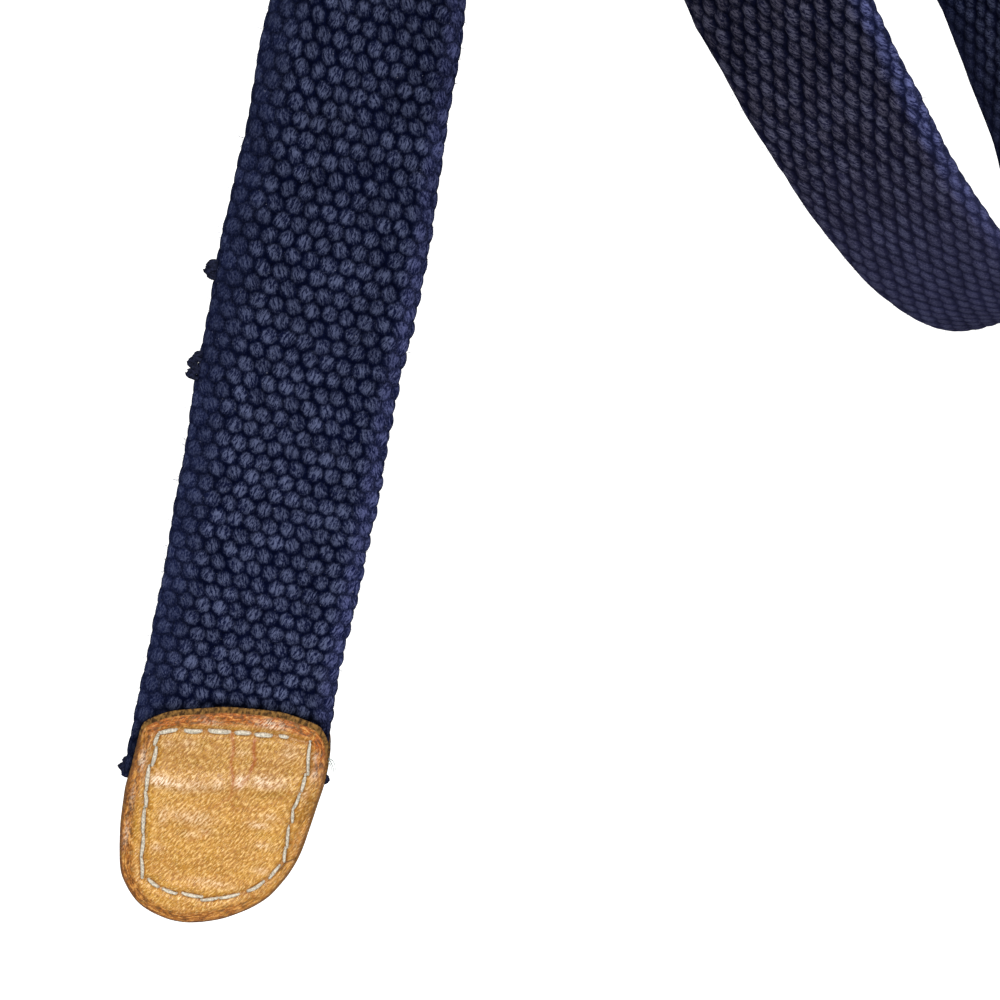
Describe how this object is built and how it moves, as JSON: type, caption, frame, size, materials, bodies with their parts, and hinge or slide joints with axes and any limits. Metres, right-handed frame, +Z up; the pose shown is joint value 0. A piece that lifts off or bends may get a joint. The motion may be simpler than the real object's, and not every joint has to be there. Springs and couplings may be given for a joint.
{
  "type": "canvas web belt",
  "caption": "Cotton web belt with a stitched leather tip and a plain metal slide buckle, held up with its free end hanging.",
  "frame": {"origin": "middle of the web at the place where the belt is held, on the web's centre plane", "axes": "+Z up, -Y towards the front of the free end, +X towards the loop and the buckle"},
  "size_m": [0.2556, 0.1493, 0.4001],
  "materials": {
    "web_cotton": "coarse plain-woven navy cotton, matt, with dark gaps between the yarns",
    "tip_leather": "glossy tan leather with a fine grain, ivory stitching and raw brown edges",
    "buckle_metal": "brushed dark brass, slightly worn"
  },
  "bodies": {
    "root": {"web_strap": "web_cotton", "tip_leather_front": "tip_leather", "tip_leather_back": "tip_leather", "slide_buckle": "buckle_metal"}
  },
  "joints": []
}
